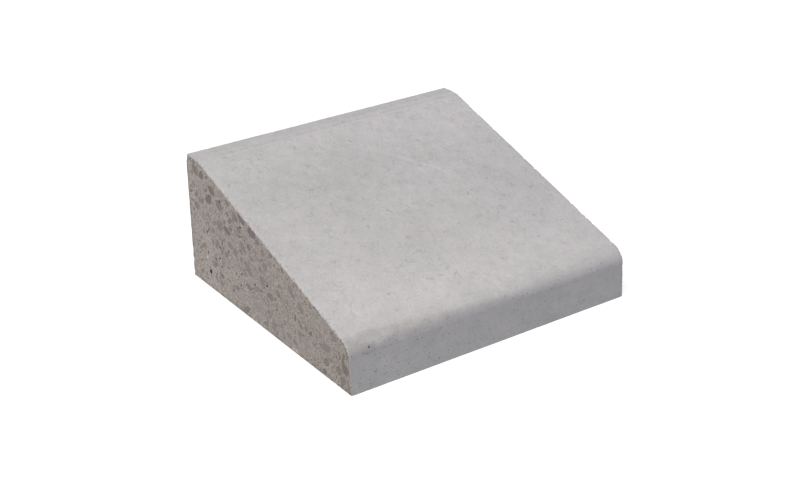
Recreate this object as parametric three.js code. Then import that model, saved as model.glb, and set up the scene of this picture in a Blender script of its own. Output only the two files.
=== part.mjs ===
// Concrete kerb stone with a sloped face: one piece of cast concrete, sawn square to length.
//
// Frame, in millimetres: +Z is up and the bed face lies on Z = 0. The kerb runs along X, its low,
// battered front looks along -Y and its tall back stands against the paving at +Y. The origin is
// the centre of the bed face, at mid-length.

import * as THREE from 'three';

// ---- Driving dimensions ----------------------------------------------------------------------

const LENGTH = 330; // sawn length along the kerb line
const DEPTH = 300; // front to back, on the bed
const HEIGHT = 140; // bed to the level strip at the back

const BACK_CHAMFER_RUN = 3; // steep demoulding chamfer at the top of the back face
const BACK_CHAMFER_DROP = 10;
const TOP_STRIP = 21; // level strip between the chamfer and the slope

const FRONT_HEIGHT = 48; // where the slope, carried on past the nose, meets the front plane
const FRONT_BATTER = 3.2; // degrees that the front face leans back from upright
const NOSE_RADIUS = 18; // rounded nose between the slope and the front face
const SLOPE_BREAK_RADIUS = 6; // soft arris where the level strip turns down into the slope

const ARC_SEGMENTS = 12; // a round stretch is divided into twice this many flats

// ---- Corners of the cross-section ------------------------------------------------------------
// The section is drawn in the plane of Y and Z. Each corner is where two flat faces would meet
// before the round ones are eased.

const front = -DEPTH / 2;
const back = DEPTH / 2;

const frontToe = new THREE.Vector2(front, 0);
const backToe = new THREE.Vector2(back, 0);
const backShoulder = new THREE.Vector2(back, HEIGHT - BACK_CHAMFER_DROP);
const crest = new THREE.Vector2(back - BACK_CHAMFER_RUN, HEIGHT);
const slopeBreak = new THREE.Vector2(crest.x - TOP_STRIP, HEIGHT);
const slopeFoot = new THREE.Vector2(front, FRONT_HEIGHT);

/** The corner of the nose: the slope's line crossed with the battered front face's line. */
function noseCorner() {
  const fall = (slopeBreak.y - slopeFoot.y) / (slopeBreak.x - slopeFoot.x);
  const lean = Math.tan(THREE.MathUtils.degToRad(FRONT_BATTER));
  const height = FRONT_HEIGHT / (1 - fall * lean);
  return new THREE.Vector2(front + lean * height, height);
}

/**
 * Carries the outline to a corner and round it on an arc tangent to both of its faces.
 * The tangent points lie radius * tan(turn / 2) from the corner, and the arc's centre is one
 * radius to the left of the way in, because the outline turns left (anticlockwise) all the way.
 */
function easeCorner(outline, before, corner, after, radius) {
  const wayIn = corner.clone().sub(before).normalize();
  const wayOut = after.clone().sub(corner).normalize();
  const turn = Math.acos(wayIn.dot(wayOut));
  const setback = radius * Math.tan(turn / 2);

  const start = corner.clone().addScaledVector(wayIn, -setback);
  const centre = new THREE.Vector2(-wayIn.y, wayIn.x).multiplyScalar(radius).add(start);
  const startAngle = Math.atan2(start.y - centre.y, start.x - centre.x);

  outline.lineTo(start.x, start.y);
  outline.absarc(centre.x, centre.y, radius, startAngle, startAngle + turn, false);
}

/** The kerb's cross-section, anticlockwise from the back of the bed. */
function kerbSection() {
  const nose = noseCorner();
  const outline = new THREE.Shape();
  outline.moveTo(backToe.x, backToe.y);
  outline.lineTo(backShoulder.x, backShoulder.y);
  outline.lineTo(crest.x, crest.y);
  easeCorner(outline, crest, slopeBreak, nose, SLOPE_BREAK_RADIUS);
  easeCorner(outline, slopeBreak, nose, frontToe, NOSE_RADIUS);
  outline.lineTo(frontToe.x, frontToe.y);
  outline.closePath();
  return outline;
}

// ---- The solid -------------------------------------------------------------------------------

/** The section carried along the kerb line, and centred on the origin. */
function kerbGeometry() {
  const geometry = new THREE.ExtrudeGeometry(kerbSection(), {
    depth: LENGTH,
    bevelEnabled: false,
    curveSegments: ARC_SEGMENTS,
  });
  const across = new THREE.Vector3(0, 1, 0);
  const up = new THREE.Vector3(0, 0, 1);
  const along = new THREE.Vector3(1, 0, 0);
  geometry.applyMatrix4(new THREE.Matrix4().makeBasis(across, up, along));
  geometry.translate(-LENGTH / 2, 0, 0);
  return geometry;
}

const castConcrete = new THREE.MeshStandardMaterial({
  name: 'cast_concrete',
  color: 0xb4b3b0,
  roughness: 0.85,
  metalness: 0,
});

const kerbStone = new THREE.Mesh(kerbGeometry(), castConcrete);
kerbStone.name = 'kerb_stone';

const kerb = new THREE.Group();
kerb.add(kerbStone);

export default kerb;
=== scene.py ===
# %% [markdown]
# # A sloped concrete kerb stone
# A precast kerb is one block of concrete, vibrated into a steel mould and sawn to length. So it
# shows two quite different finishes: a thin pale cement skin wherever it touched the mould, and
# brown mortar with dark crushed stones wherever a saw went through it. The CAD model holds its
# true size and section. This script gives it a worn, pitted surface and its finishes.

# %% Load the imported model
import math

import bpy
import numpy as np
from mathutils import Matrix, Vector


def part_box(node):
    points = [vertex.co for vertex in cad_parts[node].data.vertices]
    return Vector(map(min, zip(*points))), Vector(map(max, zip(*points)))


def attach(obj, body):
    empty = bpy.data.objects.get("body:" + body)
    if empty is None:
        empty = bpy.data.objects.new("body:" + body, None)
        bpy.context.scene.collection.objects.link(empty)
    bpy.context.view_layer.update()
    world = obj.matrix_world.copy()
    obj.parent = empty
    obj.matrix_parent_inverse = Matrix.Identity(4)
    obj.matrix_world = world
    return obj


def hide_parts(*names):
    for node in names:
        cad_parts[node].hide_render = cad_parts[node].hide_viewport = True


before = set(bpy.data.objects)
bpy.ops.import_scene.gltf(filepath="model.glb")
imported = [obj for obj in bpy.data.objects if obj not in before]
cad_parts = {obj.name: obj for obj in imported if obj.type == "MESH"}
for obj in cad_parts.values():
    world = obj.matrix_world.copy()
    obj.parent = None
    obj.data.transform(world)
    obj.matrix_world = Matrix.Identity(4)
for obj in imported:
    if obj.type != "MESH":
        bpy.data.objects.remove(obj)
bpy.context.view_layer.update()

MM = 0.001  # one millimetre in scene units
low, high = (np.array(corner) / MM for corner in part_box("kerb_stone"))
length, depth, height = high - low
print(f"kerb stone {length:.0f} x {depth:.0f} x {height:.0f} mm")

# %% [markdown]
# ## The camera
# A camera is a place, a direction and a lens. The direction is given as a photographer would
# say it: how far round the stone, how far above the horizon, and how far the frame leans.

# %% Camera
CAMERA_PLACE = Vector((-0.7648, -1.0658, 0.6820))
CAMERA_AZIMUTH = math.radians(-31.223)
CAMERA_ELEVATION = math.radians(24.845)
CAMERA_LEAN = math.radians(-2.156)

camera = bpy.data.objects.new("camera", bpy.data.cameras.new("camera"))
bpy.context.scene.collection.objects.link(camera)
camera.data.sensor_width = 36
camera.data.lens = 63.717
camera.data.shift_x = 0.1215
camera.data.shift_y = -0.02245
camera.data.clip_start, camera.data.clip_end = 0.05, 50

backwards = Vector((
    math.sin(CAMERA_AZIMUTH) * math.cos(CAMERA_ELEVATION),
    -math.cos(CAMERA_AZIMUTH) * math.cos(CAMERA_ELEVATION),
    math.sin(CAMERA_ELEVATION),
))
aim = backwards.to_track_quat("Z", "Y").to_matrix().to_4x4()
lean = Matrix.Rotation(CAMERA_LEAN, 4, "Z")
camera.matrix_world = Matrix.Translation(CAMERA_PLACE) @ aim @ lean
bpy.context.scene.camera = camera
print("the camera looks along", [round(-c, 3) for c in backwards])

# %% [markdown]
# ## The section
# The kerb is one cross-section carried along X. Its outline is read off the CAD solid, so the
# fine surface made here lies exactly on that solid. The section is convex, so sorting its
# points by their angle about the middle puts them in order round the outline.

# %% Read the section's outline
def section_outline(node):
    """The points (y, z) of the solid's end in mm, in order: front toe, over the top, back toe."""
    co = np.empty(len(node.data.vertices) * 3)
    node.data.vertices.foreach_get("co", co)
    co = co.reshape(-1, 3) / MM
    end = np.unique(np.round(co[co[:, 0] < low[0] + 0.01][:, 1:], 4), axis=0)
    middle = end.mean(0)
    angle = np.arctan2(end[:, 1] - middle[1], end[:, 0] - middle[0])
    toe = np.argmin(end[:, 0] + end[:, 1])
    return end[np.argsort((angle[toe] - angle + 1e-6) % (2 * math.pi))]


outline = section_outline(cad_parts["kerb_stone"])
steps = np.linalg.norm(np.diff(outline, axis=0), axis=1)
run = np.concatenate([[0], np.cumsum(steps)])  # distance round the outline at each point
print(f"{len(outline)} points, {run[-1]:.0f} mm from the front toe over the top to the back toe")


def at(distance):
    """The place (y, z) on the outline at a distance round it, by straight lines between points."""
    return np.stack([np.interp(distance, run, outline[:, k]) for k in (0, 1)], -1)


# %% [markdown]
# ## A grid that is finer at the arrises
# The sawn arrises and the toes are where the stone is nibbled, so the grid lines crowd together
# there and spread out in between. That keeps the mesh light without losing the small spalls.

# %% Spacing of the grid lines
EDGE_LINES = np.array([0, 0.35, 0.8, 1.4, 2.2, 3.2])  # mm from an arris to the first grid lines
ALONG_COLUMNS = 212  # grid lines along X, apart from those at the two ends
SLOPE_ROWS = 220  # over the nose, slope and level strip
FACE_ROWS = 38  # up the front, and down the back


def crowded(total, count):
    """Positions from 0 to total, close together at both ends and even in between."""
    return np.concatenate([
        EDGE_LINES,
        np.linspace(EDGE_LINES[-1], total - EDGE_LINES[-1], count + 2)[1:-1],
        (total - EDGE_LINES)[::-1],
    ])


nose_start, shoulder = run[1], run[-2]
turning = np.abs(np.diff(np.unwrap(np.arctan2(*np.diff(outline, axis=0).T[::-1]))))
crest = run[1:-1][np.argmax(turning[1:-1]) + 1]  # the sharp corner at the top of the back

share = crowded(height, FACE_ROWS) / height  # up any upright line, bed to top
across = crowded(depth, SLOPE_ROWS) / depth  # from the front to the back
over = nose_start + across * (shoulder - nose_start)
over[np.argmin(np.abs(over - crest))] = crest

rows = np.concatenate([
    share * nose_start,
    over[1:],
    shoulder + (1 - share[::-1][1:]) * (run[-1] - shoulder),
])
columns = low[0] + crowded(length, ALONG_COLUMNS)
print(f"{len(rows)} rows by {len(columns)} columns, crest at {crest:.0f} mm")

# %% [markdown]
# ## Small randomness
# Concrete is never quite even. A smooth random field is made by adding up many cosine waves
# with random directions, and single flaws are drawn from one seeded generator, so that the
# stone comes out the same each time.

# %% Random fields
rng = np.random.default_rng(2026)


def ripples(points, wavelength, waves=24):
    """A smooth random field from about -1 to 1: a scaled sum of cosines of random direction."""
    way = rng.normal(size=(waves, points.shape[-1]))
    way *= 2 * math.pi / wavelength / np.linalg.norm(way, axis=1, keepdims=True)
    phase = rng.uniform(0, 2 * math.pi, waves)
    return np.cos(points @ way.T + phase).sum(-1) * math.sqrt(2 / waves) / 2


def spalls(position, total, spacing, size):
    """How far an arris is broken back along its length, in mm: the highest of the bumps that lie
    over a point. The bumps are parabolas at random places. They are up to 'size' deep, and the
    deep ones are rare, because their depth goes with the square of an even random number."""
    count = max(1, round(total / spacing))
    centre = rng.uniform(0, total, count)
    deep = size * rng.uniform(0.25, 1.0, count) ** 2
    half = deep * rng.uniform(1.0, 2.2, count) + 0.4  # mm to each side, a little more than deep
    away = np.abs(position[..., None] - centre) / half
    return (deep * np.clip(1 - away**2, 0, 1)).max(-1)


# %% [markdown]
# ## Blowholes
# Air bubbles that the vibration didn't drive out stay against the mould as small round holes.
# Most are on the upright front, more of them towards its left end, and one larger hole is on
# the nose. The grid is first drawn towards each hole, so that a hole gets several vertices, and
# is then pushed in there to the shape of a bubble.

# %% Where the blowholes are
FRONT_HOLES, OTHER_HOLES = 84, 10
HOLE_RADIUS = (0.28, 0.55)  # mm
NOSE_HOLE, NOSE_HOLE_RADIUS = (6.0, -142.7), 1.0  # mm past the nose's start, along X, and radius
STEEP_NOSE = 9.0  # mm round the nose that still counts as the front
CLEAR_OF_ARRIS = 7.0  # mm that a hole keeps from the crest and the sawn ends
CLEAR_OF_TOES = (3.0, 4.0)  # mm that it keeps from the front toe and the back toe
MORE_TO_LEFT = 1.35  # a power above 1 crowds the front's holes to the left

nose_end = nose_start + STEEP_NOSE
along_x = (low[0] + CLEAR_OF_ARRIS, high[0] - CLEAR_OF_ARRIS)
front_holes = np.column_stack([
    rng.uniform(CLEAR_OF_TOES[0], nose_end, FRONT_HOLES),
    along_x[0] + (along_x[1] - along_x[0]) * rng.uniform(0, 1, FRONT_HOLES) ** MORE_TO_LEFT,
])
other_holes = np.column_stack([
    rng.uniform(nose_end, run[-1] - CLEAR_OF_TOES[1], OTHER_HOLES),
    rng.uniform(*along_x, OTHER_HOLES),
])
other_holes = other_holes[np.abs(other_holes[:, 0] - crest) > CLEAR_OF_ARRIS]
nose_hole = np.array([[nose_start + NOSE_HOLE[0], NOSE_HOLE[1]]])
holes = np.concatenate([front_holes, other_holes, nose_hole])
hole_radius = rng.uniform(*HOLE_RADIUS, len(holes))
hole_radius[-1] = NOSE_HOLE_RADIUS
print(f"{len(holes)} blowholes, {2 * hole_radius.min():.1f} to {2 * hole_radius.max():.1f} mm across")


def drawn_in(points, centres, radii, pull=0.55):
    """Moves grid points towards each centre: by the share 'pull' of the way close to it, and
    less with distance, by a bell curve somewhat wider than the hole."""
    away = points[..., None, :] - centres
    near = np.exp(-(away**2).sum(-1) / (2 * (1.6 * radii + 0.8) ** 2))
    return points - pull * (near[..., None] * away).sum(-2)


def bubble(points, centres, radii):
    """Depth of the holes at each point, in mm: a flattened half sphere under each centre."""
    away = (((points[..., None, :] - centres) / radii[:, None]) ** 2).sum(-1)
    return (0.8 * radii * np.sqrt(np.clip(1 - away, 0, 1))).max(-1)


# %% [markdown]
# ## The cast skin
# The skin is the outline carried along X: a grid of rows round the section and columns along
# the stone. The way outwards is the outline's own direction turned by a quarter, so it is exact
# at every row.

# %% Carry the outline along
surface = np.stack(np.meshgrid(rows, columns, indexing="ij"), -1)  # distance round, and x
inner = surface[1:-1, 1:-1]
inner[...] = drawn_in(inner, holes, hole_radius)

place = at(surface[..., 0])
skin = np.stack([surface[..., 1], place[..., 0], place[..., 1]], -1)
tangent = np.gradient(at(rows), axis=0)
tangent /= np.linalg.norm(tangent, axis=1, keepdims=True)
outwards = np.stack([0 * tangent[:, 0], -tangent[:, 1], tangent[:, 0]], -1)[:, None]
print(f"skin {skin.shape[0]} x {skin.shape[1]}")

# %% [markdown]
# ## Worn arrises
# Handling nibbles an arris here and there, and the sawn ones more than the rest. Along the slope
# the left one is also rubbed round, which the right one is only a little. Wear could be cut
# with a boolean, but here it only moves vertices inwards, so that the stone keeps its true size.
# A chip slants at 45 degrees: a vertex goes in, away from both faces, by half of how far it lies
# inside the chip. The rounding sinks by a parabola, which meets the untouched face smoothly.

# %% Wear of the sawn arrises
ROUNDED = 3.2  # mm from a sawn end that the slope starts to round over, down to 45 degrees
RIGHT_ROUNDING = 0.25  # how far the right arris is rubbed down, against the left one
from_end = np.minimum(columns - low[0], high[0] - columns)[None]
at_left = (columns < 0)[None]

exposed = np.interp(  # how much a row is rubbed: fully on the slope, and not at the toes
    rows, [3, nose_start, nose_start + 12, crest - 24, crest - 6, crest], [0, 0.1, 1, 1, 0.4, 0],
)
left_wear = 0.10 + 0.08 * ripples(rows[:, None], 9)
left_wear += spalls(rows, run[-1], 9, 1.2) * (1 + exposed)
right_wear = 0.15 + 0.1 * ripples(rows[:, None], 9)
right_wear += spalls(rows, run[-1], 7, 1.3)
wear = np.where(at_left, left_wear[:, None], right_wear[:, None])
broken = np.clip(wear - from_end, 0, None) / 2

rubbed_by = exposed[:, None] * np.where(at_left, 1.0, RIGHT_ROUNDING) * ROUNDED / 4
rounding = rubbed_by * np.clip(1 - from_end / ROUNDED, 0, 1) ** 2
set_back = np.maximum(broken, rounding)  # how far the end itself goes in, along X

# %% Wear of the long arrises
LONG_ARRISES = (  # where it runs, mm from chip to chip, and the deepest chip in mm
    (0, 14, 1.0),  # the front toe
    (crest, 30, 0.8),
    (shoulder, 40, 0.5),
    (run[-1], 14, 1.0),  # the back toe
)
for corner, spacing, size in LONG_ARRISES:
    edge_wear = 0.2 + 0.1 * ripples(columns[:, None], 12)
    edge_wear += spalls(columns - low[0], length, spacing, size)
    from_edge = np.abs(rows - corner)[:, None]
    broken = np.maximum(broken, np.clip(edge_wear[None] - from_edge, 0, None) / 2)
print(f"arrises broken back {2 * broken.max():.1f} mm at most, rounded {rounding.max():.1f} mm")

# %% Push the skin in
SINK, WAVE = 0.18, 70  # mm, how deep the mould's faint waves are, and from one to the next
waves = SINK * np.clip(0.5 + 0.5 * ripples(skin, WAVE), 0, 1)
pits = bubble(surface, holes, hole_radius)
sunk = np.maximum(broken, rounding)
skin -= outwards * (sunk + waves + pits)[..., None]
set_back[:, [0, -1]] = sunk[:, [0, -1]]
skin[..., 0] -= np.sign(columns) * set_back
skin[[0, -1], :, 2] = 0  # the toes stay on the ground
print(f"blowholes {pits.max():.1f} mm deep at most")

# %% [markdown]
# ## The sawn ends
# A sawn end fills the outline. Its grid is a Coons patch: the mix of the top and bottom edges,
# plus the mix of the front and back edges, less the mix of the four corners. Its rim is the
# skin's own last column, so the two meet without a seam. A saw opens the bubbles inside the
# concrete as round pores. The left end is the one that is seen most, so its pores are placed.

# %% Fill the ends
LEFT_PORES = np.array([  # y, z and radius in mm
    (111.6, 19.0, 2.1), (114.7, 63.4, 1.1), (88.1, 55.8, 1.2), (83.0, 62.1, 0.8), (98.5, 39.4, 1.2),
    (98.2, 43.7, 0.7), (89.5, 42.9, 0.9), (86.6, 34.4, 1.0), (71.5, 39.8, 0.9), (69.7, 58.9, 0.9),
    (54.9, 39.8, 0.9), (51.1, 56.8, 0.8), (44.3, 43.9, 1.0), (43.2, 95.2, 1.0), (44.3, 85.1, 0.8),
    (47.5, 29.3, 1.0), (23.9, 31.7, 0.8), (19.1, 42.3, 1.0), (7.6, 40.3, 1.0), (-4.7, 51.1, 1.2),
    (83.0, 108.7, 1.0), (114.7, 39.8, 0.8), (130.6, 25.0, 0.8), (119.4, 8.1, 0.8), (-74.0, 63.9, 0.7),
])
RIGHT_PORES, PORE_RADIUS = 24, (0.7, 1.2)  # how many, and mm
face_rows, top_rows = len(share), len(across)
up_front, over_top = slice(face_rows), slice(face_rows - 1, face_rows - 1 + top_rows)


def coons(bottom, top, front, back):
    """Fills four edges: bottom to top mix, plus front to back mix, less the mix of the corners."""
    u, v = across[None, :, None], share[:, None, None]
    rise = (1 - v) * bottom[None] + v * top[None]
    pass_over = (1 - u) * front[:, None] + u * back[:, None]
    corners = (1 - v) * ((1 - u) * bottom[0] + u * bottom[-1]) + v * ((1 - u) * top[0] + u * top[-1])
    return rise + pass_over - corners


def rubbed_down(away, deep):
    """How far an end sinks beside an arris that is rubbed 'deep' mm down, at a distance 'away'
    from it: a parabola that leaves the arris at 45 degrees and dies out at twice its depth."""
    return deep * np.clip(1 - away / (2 * deep), 0, 1) ** 2


def sawn_end(column, way, pores, radii):
    """A sawn end's grid of vertices, its rim shared with the skin. Beside it, in mm, how far each
    vertex is chipped off beyond the rounding of the arris, and how deep in a pore it lies."""
    rim = skin[:, column]
    front, top, back = rim[up_front], rim[over_top], rim[::-1][up_front]
    bottom = front[0] + across[:, None] * (back[0] - front[0])
    end = coons(bottom, top, front, back)

    u, v = across[None], share[:, None]
    tall = end[-1, :, 2] - end[0, :, 2]
    wide = end[:, -1:, 1] - end[:, :1, 1]
    from_top, from_front = (1 - v) * tall, u * wide
    chip, soft = 2 * broken[:, column], rounding[:, column] + 1e-6
    chipped = np.maximum.reduce([
        chip[over_top][None] - from_top,
        chip[up_front, None] - from_front,
        chip[::-1][up_front, None] - (1 - u) * wide,
        (0.2 + spalls(across * depth, depth, 12, 1.0))[None] - v * tall,
    ]).clip(0) / 2
    rounded = np.maximum(
        rubbed_down(from_top, soft[over_top][None]), rubbed_down(from_front, soft[up_front, None]),
    )

    inside = (slice(1, -1), slice(1, -1))
    end[inside][..., 1:] = drawn_in(end[inside][..., 1:], pores, radii)
    hollow = bubble(end[..., 1:], pores, radii)
    end[..., 0] = way * (high[0] - np.maximum(chipped, rounded) - hollow)
    end[0, 1:-1, 1] = bottom[1:-1, 1]
    end[-1], end[:, 0], end[:, -1] = top, front, back
    return end, np.clip(chipped - rounded, 0, None), hollow


def from_outline(spots):
    """How far places (y, z) lie from the section's outline: the least distance to any of its
    sides, each the distance to the nearest point of that side."""
    start, way = outline, np.roll(outline, -1, 0) - outline
    away = spots[..., None, :] - start
    along = np.clip((away * way).sum(-1) / (way**2).sum(-1), 0, 1)
    return np.linalg.norm(away - along[..., None] * way, axis=-1).min(-1)


def inside_section(count, clear=8.0, above_bed=5.0, below_top=6.0):
    """Random places (y, z) inside the section, that many mm clear of its outline."""
    lowest, highest = (low[1] + clear, above_bed), (high[1] - clear, height - clear)
    spot = rng.uniform(lowest, highest, (count * 4, 2))
    top_of = np.interp(spot[:, 0], outline[1:-1, 0], outline[1:-1, 1])
    return spot[spot[:, 1] < top_of - below_top][:count]


right_pores = inside_section(RIGHT_PORES)
right_radius = rng.uniform(*PORE_RADIUS, len(right_pores))
left, left_chips, left_hollow = sawn_end(0, -1, LEFT_PORES[:, :2], LEFT_PORES[:, 2])
right, right_chips, right_hollow = sawn_end(-1, 1, right_pores, right_radius)
print(f"ends {left.shape[0]} x {left.shape[1]}, {len(LEFT_PORES)} and {len(right_pores)} pores")

# %% [markdown]
# ## One closed mesh
# The skin, the two ends and the bed are joined into one closed body, as the real stone is one
# body. Each grid of vertices becomes a grid of four-sided faces. The ends reuse the skin's
# vertices on three sides, and the bed is one flat face that is then cut into triangles. Three
# measures go with the vertices, for the finishes to read: how far each is broken out beyond any
# rounding, how deep in a hole it is, and how far it lies from the sawn arris.

# %% Number the vertices
skin_ids = np.arange(skin.shape[0] * skin.shape[1]).reshape(skin.shape[:2])


def end_ids(column, first_new):
    """The vertex numbers of an end's grid: the skin's on its rim, and new ones elsewhere."""
    ids = np.full((face_rows, top_rows), -1)
    rim = skin_ids[:, column]
    ids[:, 0] = rim[up_front]
    ids[-1] = rim[over_top]
    ids[:, -1] = rim[::-1][up_front]
    new = ids < 0
    ids[new] = first_new + np.arange(new.sum())
    return ids, new


left_ids, left_new = end_ids(0, skin_ids.size)
right_ids, right_new = end_ids(-1, skin_ids.size + left_new.sum())
points = np.concatenate([skin.reshape(-1, 3), left[left_new], right[right_new]])
skin_chips = np.clip(broken - rounding, 0, None)
chips = np.concatenate([skin_chips.ravel(), left_chips[left_new], right_chips[right_new]])
pitted = np.concatenate([pits.ravel(), left_hollow[left_new], right_hollow[right_new]])
from_arris = np.concatenate([
    np.broadcast_to(from_end, skin.shape[:2]).ravel(),
    from_outline(left[left_new][:, 1:]),
    from_outline(right[right_new][:, 1:]),
])


def grid_faces(ids):
    """Four corners for each face of a grid of vertex numbers, turning rows into columns."""
    return np.stack([ids[:-1, :-1], ids[:-1, 1:], ids[1:, 1:], ids[1:, :-1]], -1).reshape(-1, 4)


bed = np.concatenate([left_ids[0, :-1], skin_ids[-1, :-1], right_ids[0, :0:-1], skin_ids[0, :0:-1]])
quads = np.concatenate([grid_faces(skin_ids), grid_faces(left_ids)[:, ::-1], grid_faces(right_ids)])
CAST, SAWN, FLOATED = range(3)
finish_of = np.repeat(
    [CAST, SAWN, SAWN, FLOATED],
    [(skin_ids.shape[0] - 1) * (skin_ids.shape[1] - 1), *[(face_rows - 1) * (top_rows - 1)] * 2, 1],
)
print(f"{len(points)} vertices, {len(quads)} four-sided faces and one bed")

# %% Build the stone
SHARP = math.radians(40)  # edges that turn more than this stay crisp
mesh = bpy.data.meshes.new("kerb_stone_surface")
mesh.from_pydata((points * MM).tolist(), [], quads.tolist() + [bed.tolist()])
mesh.polygons.foreach_set("material_index", finish_of)
for name, values in (("broken", chips), ("pitted", pitted), ("from_arris", from_arris)):
    mesh.attributes.new(name, "FLOAT", "POINT").data.foreach_set("value", values)
mesh.shade_smooth()
mesh.set_sharp_from_angle(angle=SHARP)
mesh.validate()
kerb = bpy.data.objects.new("kerb_stone_surface", mesh)
bpy.context.scene.collection.objects.link(kerb)
print(f"{len(mesh.vertices)} vertices, {sum(len(f.vertices) - 2 for f in mesh.polygons)} triangles")

# %% [markdown]
# ## Tools for the finishes
# Colours are picked as sRGB hex values, as a paint chart gives them, and turned to the linear
# values that a render works in. One function adds a node. It takes a socket by its name or its
# number: on a Mix of colours, 0 is the share of the second and 6 and 7 are the two colours, and
# on a Map Range, what lies between 1 and 2 is mapped to 3 and 4, which start as 0 and 1.
# Patterns are measured in millimetres, so each finish starts by turning the stone's own
# coordinates from metres to millimetres. A mark with a place of its own is an oval that fades
# out from its middle.

# %% Colour and node helpers
WHITE = (1.0, 1.0, 1.0, 1.0)
BLEND = {"out": 2, "data_type": "RGBA"}  # a Mix node that goes from one colour to another
TINT = {**BLEND, "blend_type": "MULTIPLY"}  # one that dims a colour by another
HUGE = 1e6  # the half size of an oval along an axis that doesn't matter


def linear(hex_colour):
    """An sRGB hex colour as linear red, green, blue and alpha."""
    srgb = np.array([int(hex_colour[k:k + 2], 16) for k in (1, 3, 5)]) / 255
    rgb = np.where(srgb <= 0.04045, srgb / 12.92, ((srgb + 0.055) / 1.055) ** 2.4)
    return (*rgb.tolist(), 1.0)


def add(tree, kind, inputs={}, out=0, **settings):
    """Adds a node and gives back its output 'out'. 'inputs' maps a socket to a value, or to
    another node's output, which is linked. All other names are the node's own settings."""
    node = tree.nodes.new("ShaderNode" + kind)
    for name, value in settings.items():
        setattr(node, name, value)
    for socket, value in inputs.items():
        if isinstance(value, bpy.types.NodeSocket):
            tree.links.new(value, node.inputs[socket])
        else:
            node.inputs[socket].default_value = value
    return node.outputs[out]


def oval(tree, where, middle, half, turned=(0.0, 0.0, 0.0)):
    """1 at the middle of an oval, falling evenly to 0 at its rim. 'half' is its half size along
    each axis, and 'turned' is how far it is turned about each."""
    near = add(tree, "Mapping", {0: where, "Location": middle, "Rotation": turned, "Scale": half},
               vector_type="TEXTURE")
    return add(tree, "TexGradient", {0: near}, out="Fac", gradient_type="SPHERICAL")


def begin(name, roughness):
    """A new material: its node tree, its shader, and the place on the stone in millimetres."""
    material = bpy.data.materials.new(name)
    material.use_nodes = True
    mesh.materials.append(material)
    shader = material.node_tree.nodes["Principled BSDF"]
    shader.inputs["Roughness"].default_value = roughness
    shader.inputs["IOR"].default_value = 1.5  # cement and most stone
    metres = add(material.node_tree, "TexCoord", out="Object")
    mm = add(material.node_tree, "VectorMath", {0: metres, "Scale": 1 / MM}, operation="SCALE")
    print("finish:", name)
    return material.node_tree, shader, mm


# %% [markdown]
# ## The cast skin: clouds and grain
# Against the mould the cement forms a smooth, pale skin a fraction of a millimetre thick. It is
# matt, and never one colour: where water lingered it dried in soft clouds, over smaller mottles,
# over the grain of the cement itself. Three noises of those sizes are weighed and added up, and
# the sum picks a grey between the palest and the dullest cement.

# %% Cast skin: clouds and grain
SIZES = (48, 13, 1.9)  # mm from lump to lump, for the clouds, the mottle and the grain
WEIGHTS = (0.45, 1.10, 1.65)
tree, shader, mm = begin("cast concrete skin, off the mould", 0.82)
clouds, mottle, grain = (
    add(tree, "TexNoise", {"Vector": mm, "W": k, "Scale": 1 / size, "Detail": 3.0, "Roughness": 0.6},
        noise_dimensions="4D")
    for k, size in enumerate(SIZES)
)
layers = add(tree, "CombineXYZ", {0: clouds, 1: mottle, 2: grain})
dull = add(tree, "VectorMath", {0: layers, 1: WEIGHTS}, out="Value", operation="DOT_PRODUCT")
dull = add(tree, "Math", {0: dull, 1: 0.5 - sum(WEIGHTS) / 2}, operation="ADD", use_clamp=True)
skin_colour = add(tree, "Mix", {0: dull, 6: linear("#d0cfcf"), 7: linear("#b7b7b7")}, **BLEND)

# %% [markdown]
# ## The cast skin: hue
# The slope's grey leans faintly to pink, a little warmer towards the front left and cooler
# towards the back right. The two upright faces are cooler than the slope, most of all near the
# top. The hue drifts between those four, and two noises stir it, by shifting the place at which
# it is looked up.

# %% Cast skin: hue
SLOPE_HUES = ("#fffbfd", "#fffbfb")  # at the back right and at the front left
UPRIGHT_HUES = ("#fefcff", "#fbf9ff")  # at the bottom and at the top
TO_LEFT, LEFT_SPAN = (-0.86, -0.51, 0.0), (-204.0, 141.0)  # the way, and from where to where in mm
STIRRED_BY = (150.0, 140.0)  # mm that the wide noise and the mottle shift the place
spread = add(tree, "SeparateXYZ", {0: mm})
x, y, z = spread, spread.node.outputs[1], spread.node.outputs[2]
drift = add(tree, "TexNoise", {"Vector": mm, "W": 5.0, "Scale": 1 / 55, "Detail": 2.0},
            noise_dimensions="4D")
stirred = add(tree, "Math", {0: drift, 1: STIRRED_BY[0], 2: -sum(STIRRED_BY) / 2},
              operation="MULTIPLY_ADD")
stirred = add(tree, "Math", {0: mottle, 1: STIRRED_BY[1], 2: stirred}, operation="MULTIPLY_ADD")
to_left = add(tree, "VectorMath", {0: mm, 1: TO_LEFT}, out="Value", operation="DOT_PRODUCT")
to_left = add(tree, "Math", {0: to_left, 1: stirred}, operation="ADD")
to_left = add(tree, "MapRange", {0: to_left, 1: LEFT_SPAN[0], 2: LEFT_SPAN[1]})
to_top = add(tree, "Math", {0: x, 1: 0.12, 2: z}, operation="MULTIPLY_ADD")
to_top = add(tree, "MapRange", {0: to_top, 1: 0.0, 2: 40.0})
upright = add(tree, "Math", {0: y}, operation="ABSOLUTE")
upright = add(tree, "MapRange", {0: upright, 1: depth / 2 - 6.5, 2: depth / 2 - 1.9})
hues = [
    add(tree, "Mix", {0: way, 6: linear(first), 7: linear(last)}, **BLEND)
    for way, (first, last) in ((to_left, SLOPE_HUES), (to_top, UPRIGHT_HUES))
]
hue = add(tree, "Mix", {0: upright, 6: hues[0], 7: hues[1]}, **BLEND)
skin_colour = add(tree, "Mix", {0: 1.0, 6: skin_colour, 7: hue}, **TINT)

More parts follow.
